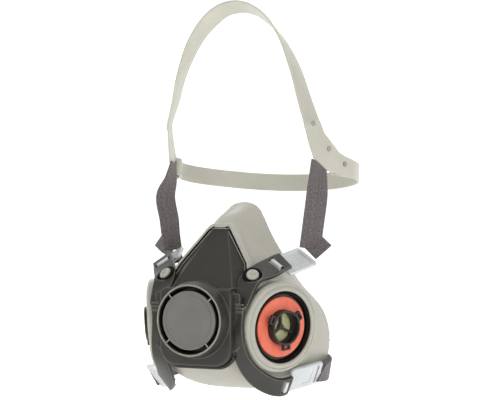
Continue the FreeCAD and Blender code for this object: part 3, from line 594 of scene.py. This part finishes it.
def lathe(name, profile, centre, axis, slot, replaced=(), steps=48):
    """A turned piece of the mask from its (radius, height) profile in millimetres."""
    axis = Vector(axis).normalized()
    first = axis.orthogonal().normalized()
    second = axis.cross(first)
    bm = bmesh.new()
    rings = []
    for radius, height in profile:
        base = Vector(centre) * MM + axis * (height * MM)
        if radius == 0:
            rings.append([bm.verts.new(base)])
            continue
        turns = [2 * math.pi * k / steps for k in range(steps)]
        rings.append([bm.verts.new(base + (first * math.cos(t) + second * math.sin(t)) * (radius * MM))
                      for t in turns])
    pairs = list(zip(rings, rings[1:]))
    if profile[0][0] and profile[-1][0]:
        pairs.append((rings[-1], rings[0]))
    for low, high in pairs:
        for k in range(steps):
            n = (k + 1) % steps
            corners = [low[k % len(low)], low[n % len(low)], high[n % len(high)], high[k % len(high)]]
            corners = list(dict.fromkeys(corners))
            if len(corners) > 2:
                bm.faces.new(corners)
    new_piece(name, as_mesh(bm, name), "mask", slot, replaced)


def mirrored(vector, side):
    """The vector on the wearer's left for side 1, and on the right for side -1."""
    return (side * vector[0], *vector[1:])


STUD_PROFILE = ((0, -9), (3.2, -9), (3.2, -0.9), (4.1, -0.9), (4.25, -0.7), (4.25, 0.2), (4.0, 0.8),
                (3.4, 1.2), (2.6, 1.35), (2.0, 1.2), (1.6, 0.5), (0.9, 0.2), (0, 0.1))
# Painted shade: a black ring in the recess round each stud button.
WELL_PROFILE = ((3.4, -2.0), (6.95, -2.0), (6.95, -0.7), (3.4, -0.7))
# Painted shade: a black ring on the well wall round each gasket.
WELL_SHADE_PROFILE = ((22.3, -2.9), (24.5, -2.9), (24.5, 1.35), (24.1, 1.3), (23.9, 0.9), (23.3, 0.85),
                 (23.0, 0.5), (22.3, 0.3))
RING_PROFILE = ((24.5, -1.5), (24.5, 1.5), (24.8, 2.1), (25.3, 2.4), (26.3, 2.45), (26.9, 2.2), (27.1, 1.7),
                (27.2, 0.9), (28.1, 0.7), (28.2, 1.2), (28.6, 1.5), (29.4, 1.4), (30.1, 0.9), (30.6, -0.2),
                (30.8, -2.5), (30.8, -5.5), (27.0, -5.5))
for side, word in ((1, "left"), (-1, "right")):
    stud = (mirrored(STUD_CENTRE, side), mirrored(STUD_AXIS, side))
    lathe(word + "_stud_button", STUD_PROFILE, *stud, "facepiece_elastomer", replaced=[word + "_yoke_stud"])
    lathe(word + "_stud_well", WELL_PROFILE, *stud, "gap_black")
    port = (mirrored(PORT_CENTRE, side), mirrored(PORT_AXIS, side))
    lathe(word + "_port_liner", WELL_SHADE_PROFILE, *port, "gap_black", steps=96)
    lathe(word + "_port_ring", RING_PROFILE, *port, "facepiece_elastomer", steps=128)

# The pale lip of the exhalation shroud, a painted highlight along its rim, and the four thin spokes that hold
# the cover's disc.
LIP_RADIUS, LIP_FRONT, LIP_LINE = 23.55, -88.95, 0.42
SPOKE_INNER, SPOKE_OUTER, SPOKE_FRONT, SPOKE_LINE = 19.2, 22.9, -89.0, 0.42
SPOKE_TURNS = (42.0, 131.0, 222.0, 310.0)
lip = bmesh.new()
hoop(lip, Vector((0, LIP_FRONT, EXHALE_Z)) * MM, Vector((0, -1, 0)), LIP_RADIUS * MM, LIP_LINE * MM, 96)
new_piece("shroud_lip", as_mesh(lip, "shroud_lip"), "mask", "rim_plastic")
for number, turn in enumerate(SPOKE_TURNS, 1):
    out = Vector((math.cos(math.radians(turn)), 0, math.sin(math.radians(turn))))
    ends = [(Vector((0, SPOKE_FRONT, EXHALE_Z)) + out * reach) * MM for reach in (SPOKE_INNER, SPOKE_OUTER)]
    line_piece("cover_spoke_%d" % number, ends, SPOKE_LINE, "rim_plastic", "exhalation_cover")

# A near-black tube under the box, a painted shadow where the box meets the facepiece. Its route is a list of
# (x, z), down one side and up the other.
BOX_SHADOW_Y, BOX_SHADOW_RADIUS = -73.9, 1.5
BOX_SHADOW_HALF_WIDTH, BOX_SHADOW_BOTTOM, BOX_SHADOW_CORNER = 27.9, -48.9, 13.6
BOX_SHADOW_TOP, BOX_SHADOW_SECOND = -30.0, -33.0
box_shadow_route = [(BOX_SHADOW_HALF_WIDTH, BOX_SHADOW_TOP), (BOX_SHADOW_HALF_WIDTH, BOX_SHADOW_SECOND)]
box_shadow_route += [(BOX_SHADOW_HALF_WIDTH - BOX_SHADOW_CORNER * (1 - math.cos(t)),
                BOX_SHADOW_BOTTOM + BOX_SHADOW_CORNER * (1 - math.sin(t)))
               for t in (math.pi / 2 * k / 10 for k in range(11))]
box_shadow_route += [(-x, z) for x, z in reversed(box_shadow_route)]
box_shadow_bm = bmesh.new()
tube(box_shadow_bm, [Vector((x, BOX_SHADOW_Y, z)) * MM for x, z in box_shadow_route], BOX_SHADOW_RADIUS * MM, 12)
new_piece("box_seal", as_mesh(box_shadow_bm, "box_seal", turned=False), "mask", "port_plastic")


# ---------------------------------------------------------------- elastic

# A run of elastic is a list of stations, each a (centre, direction across) in millimetres.
LEFT_STRAP = [((57.8, -4.1, 90.0), (0.29, 0.79, -0.53)), ((58.6, -7.6, 77.0), (0.60, 0.75, -0.25)),
              ((58.9, -11.8, 63.0), (0.88, 0.47, 0.0)), ((56.6, -12.0, 46.0), (0.84, 0.50, -0.05)),
              ((53.8, -11.0, 29.6), (0.72, 0.50, -0.25))]
LEFT_TAIL = [((53.4, -11.4, 26.6), (0.85, -0.17, -0.50)), ((57.9, -8.4, 31.2), (0.85, -0.17, -0.50)),
             ((62.4, -5.2, 36.0), (0.85, -0.17, -0.50))]
RIGHT_STRAP = [((-56.7, -3.7, 90.0), (-0.29, 0.79, -0.53)), ((-57.8, -6.5, 77.0), (0.10, 0.95, -0.25)),
               ((-60.0, -10.5, 65.0), (0.62, 0.78, 0.0)), ((-56.7, -11.5, 50.0), (0.62, 0.76, 0.0)),
               ((-55.0, -12.0, 38.8), (0.55, 0.82, 0.05)), ((-52.9, -12.2, 27.5), (0.50, 0.85, 0.05))]
RIGHT_TAIL = [((-55.5, -9.0, 26.0), (-0.70, 0.53, -0.49)), ((-61.0, -10.5, 29.0), (-0.70, 0.53, -0.49)),
              ((-66.0, -12.0, 34.0), (-0.70, 0.53, -0.49))]
RIGHT_FOLD = [((-49.6, -13.4, 24.0), (0.80, 0.45, 0.38)), ((-48.4, -14.0, 21.6), (0.80, 0.45, 0.38)),
              ((-47.4, -14.6, 19.0), (0.80, 0.45, 0.38))]


# The ribs of a run: how many, their height in millimetres and the rows of mesh along the run.
UPPER_RIBS, TAIL_RIBS, NECK_RIBS = (13, 0.16, 70), (7, 0.62, 16), (13, 0.16, 90)


def strap_piece(name, body, replaced, *runs):
    """Elastic from runs of (stations, ribs). Without a body it is left unattached, with its transform baked
    into its mesh.
    """
    meshes = [ribbon(stations, ribs, height * MM, rows) for stations, (ribs, height, rows) in runs]
    obj = dressed(name, joined(*meshes), "elastic_webbing", [replaced])
    if body is None:
        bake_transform(obj)
    else:
        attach(obj, body)


strap_piece("left_upper_elastic", None, "left_upper_strap",
            (LEFT_STRAP, UPPER_RIBS), (LEFT_TAIL, TAIL_RIBS))
strap_piece("right_upper_elastic", None, "right_upper_strap",
            (RIGHT_STRAP, UPPER_RIBS), (RIGHT_TAIL, TAIL_RIBS))

# The shaded turn of the elastic under the right upper buckle.
FOLD_HALF_WIDTH = 3.4 * MM
new_piece("right_strap_fold", ribbon(RIGHT_FOLD, 5, 0.2 * MM, 8, FOLD_HALF_WIDTH), "mask", "gap_black")

# The neck straps start at the far ends of the lower buckles, and the right one hangs swung out. BAR is where
# the left lower buckle turns, and the reach and level place its far end from there.
BAR = Vector((47.5639, -33.8870, -62.8460))
BUCKLE_ALONG = Vector((0.483, 0.858, 0.175)).normalized()
BUCKLE_ACROSS = Vector((-0.443722, 0.420684, -0.791287)).normalized()
BUCKLE_REACH, BUCKLE_LEVEL = 30.0, -2.7
RIGHT_SWING = 25.0             # degrees
SWING_TO_REACH = 0.28          # millimetres that the strap bulges outward for each degree


def neck_route(swing):
    """The left neck strap from its buckle, swung out by so many degrees, to the middle of the neck."""
    out = BUCKLE_ALONG.cross(BUCKLE_ACROSS) * -1
    turn = Matrix.Rotation(math.radians(swing), 3, BUCKLE_ACROSS)
    far = BAR + turn @ (BUCKLE_ALONG * BUCKLE_REACH + out * BUCKLE_LEVEL)
    reach = SWING_TO_REACH * swing
    return [(far, BUCKLE_ACROSS), ((60.5 + reach, 3.0, -55.5 - reach / 2), (-0.30, 0.20, -0.93)),
            ((56.5 + reach / 2, 14.0, -53.5 - reach / 3), (-0.15, 0.05, -0.98)),
            ((46.0, 24.0, -51.5), (-0.05, 0, -1)), ((30.0, 30.0, -50.0), (0, 0, -1)),
            ((16.5, 32.0, -49.2), (0, 0, -1))]


def flipped(stations):
    """The same route on the other side of the mask."""
    return [((-c[0], c[1], c[2]), (a[0], -a[1], -a[2])) for c, a in stations]


strap_piece("left_neck_elastic", "left_neck_half", "left_neck_strap", (neck_route(0.0), NECK_RIBS))
strap_piece("right_neck_elastic", "right_neck_half", "right_neck_strap",
            (flipped(neck_route(RIGHT_SWING)), NECK_RIBS))


# ---------------------------------------------------------------- carried-over CAD nodes

SLOT_OF = {
    "front_frame": "dark_plastic", "harness_yoke": "dark_plastic", "cradle_snaps": "rim_plastic",
    "exhalation_valve_seat": "port_plastic", "exhalation_valve_flap": "flap_rubber",
    "exhalation_valve_cover": "cover_plastic", "inhalation_port": "port_plastic",
    "port_gasket": "gasket_rubber", "inhalation_valve_flap": "flap_rubber",
    "crown_band": "band_plastic", "rear_band": "band_plastic",
    "neck_strap_hook": "band_plastic", "neck_strap_loop": "band_plastic",
    "upper_buckle": "buckle_plastic", "lower_buckle": "buckle_plastic",
}
# How far the sharp edges of each material are rounded, in millimetres.
EDGE_ROUND = {"dark_plastic": 0.35, "rim_plastic": 0.2, "cover_plastic": 0.2, "port_plastic": 0.15,
              "gasket_rubber": 0.25, "band_plastic": 0.3, "buckle_plastic": 0.3, "flap_rubber": 0.1}
SHARP_ANGLE = math.radians(32.0)
WELD_DISTANCE = 0.002 * MM


def dress(name):
    """Gives a node its own material and slightly rounds its sharp edges."""
    node = NODES[name]
    slot = SLOT_OF[name.replace("left_", "").replace("right_", "")]
    node.data.materials.clear()
    node.data.materials.append(MATERIALS[slot])
    weld = node.modifiers.new("weld", "WELD")
    weld.merge_threshold = WELD_DISTANCE
    bevel = node.modifiers.new("rounded_edges", "BEVEL")
    bevel.width = EDGE_ROUND[slot] * MM
    bevel.segments = 2
    bevel.limit_method = "ANGLE"
    bevel.angle_limit = SHARP_ANGLE
    bevel.harden_normals = False
    bevel.use_clamp_overlap = True


for name in sorted(NODES):
    if not NODES[name].hide_render:
        dress(name)


# ---------------------------------------------------------------- stage, light and camera

SHEET_GLOW = 0.71
NEAR_GLOW = 0.55               # the part of the sheet's glow that is left right under the mask
FADE_NEAR, FADE_FAR = 0.15, 0.75       # metres from the origin, between which the glow comes back
NECK_ROOM = 0.050              # the mask is held up, with room for a neck strap that hangs straight down

# The sheet's reach each way, where it starts to bend up, its bend and its top, in metres. It stands well
# behind every place that a camera may look from.
FLOOR_REACH, WALL_START, WALL_BEND, WALL_TOP = 12.0, 2.4, 2.4, 12.0
BEND_STEPS = 12


def stage_material(name, colour, glow):
    """A dull pale material that glows, less so near the mask."""
    material = bpy.data.materials.new(name)
    material.use_nodes = True
    main = material.node_tree.nodes["Principled BSDF"]
    main.inputs["Base Color"].default_value = (*colour, 1.0)
    main.inputs["Roughness"].default_value = 0.9
    main.inputs["Emission Color"].default_value = (1.0, 1.0, 1.0, 1.0)
    tree = material.node_tree
    place = tree.nodes.new("ShaderNodeTexCoord")
    length = tree.nodes.new("ShaderNodeVectorMath")
    length.operation = "LENGTH"
    tree.links.new(place.outputs["Object"], length.inputs[0])
    fade = tree.nodes.new("ShaderNodeMapRange")
    for key, value in (("From Min", FADE_NEAR), ("From Max", FADE_FAR), ("To Min", glow * NEAR_GLOW),
                       ("To Max", glow)):
        fade.inputs[key].default_value = value
    tree.links.new(length.outputs["Value"], fade.inputs["Value"])
    tree.links.new(fade.outputs["Result"], main.inputs["Emission Strength"])
    return material


def add_floor(level):
    """One pale sheet that runs from under the object up a long curve behind it."""
    yaw = math.radians(CAMERA_AZIMUTH)
    away = Vector((-math.sin(yaw), math.cos(yaw), 0.0))
    across = Vector((math.cos(yaw), math.sin(yaw), 0.0))
    profile = [(-FLOOR_REACH, 0.0), (WALL_START, 0.0)]
    profile += [(WALL_START + WALL_BEND * math.sin(t), WALL_BEND - WALL_BEND * math.cos(t))
                for t in (math.pi / 2 * k / BEND_STEPS for k in range(1, BEND_STEPS + 1))]
    profile += [(WALL_START + WALL_BEND, WALL_TOP)]
    vertices, faces = [], []
    for out, up in profile:
        for reach in (-FLOOR_REACH, FLOOR_REACH):
            vertices.append(away * out + across * reach + Vector((0, 0, level + up)))
    for k in range(len(profile) - 1):
        faces.append((2 * k, 2 * k + 1, 2 * k + 3, 2 * k + 2))
    mesh = bpy.data.meshes.new("studio_sweep")
    mesh.from_pydata(vertices, [], faces)
    for polygon in mesh.polygons:
        polygon.use_smooth = True
    floor = bpy.data.objects.new("studio_sweep", mesh)
    bpy.context.scene.collection.objects.link(floor)
    mesh.materials.append(stage_material("studio_white", (0.86, 0.86, 0.85), SHEET_GLOW))


def area_light(name, place, size, power):
    """A round white light that looks at the mask. Its power is in watts."""
    data = bpy.data.lights.new(name, "AREA")
    data.shape = "DISK"
    data.size = size
    data.energy = power
    lamp = bpy.data.objects.new(name, data)
    lamp.location = place
    lamp.rotation_euler = (Vector(LIGHT_TARGET) - Vector(place)).to_track_quat("-Z", "Y").to_euler()
    bpy.context.scene.collection.objects.link(lamp)


add_floor(cad_box[0][2] - NECK_ROOM)
LIGHT_TARGET = (0.0, -0.03, 0.03)
area_light("key_light", (-0.55, -1.35, 1.05), 0.6, 6.5)
area_light("fill_light", (1.45, -0.75, 0.45), 0.7, 8.0)
area_light("top_light", (0.0, 0.15, 1.5), 0.9, 4.5)
area_light("back_light", (-0.7, 1.3, 0.7), 1.0, 5.0)

world = bpy.data.worlds.new("studio_air")
bpy.context.scene.world = world
world.use_nodes = True
world.node_tree.nodes["Background"].inputs["Color"].default_value = (1.0, 1.0, 1.0, 1.0)
world.node_tree.nodes["Background"].inputs["Strength"].default_value = 0.24

camera_data = bpy.data.cameras.new("camera")
camera_data.lens, camera_data.sensor_width = CAMERA_LENS, CAMERA_SENSOR
camera = bpy.data.objects.new("camera", camera_data)
camera.location = CAMERA_PLACE
camera.rotation_euler = (math.pi / 2, 0.0, math.radians(CAMERA_AZIMUTH))
bpy.context.scene.collection.objects.link(camera)
bpy.context.scene.camera = camera
bpy.context.scene.view_settings.view_transform = "Standard"
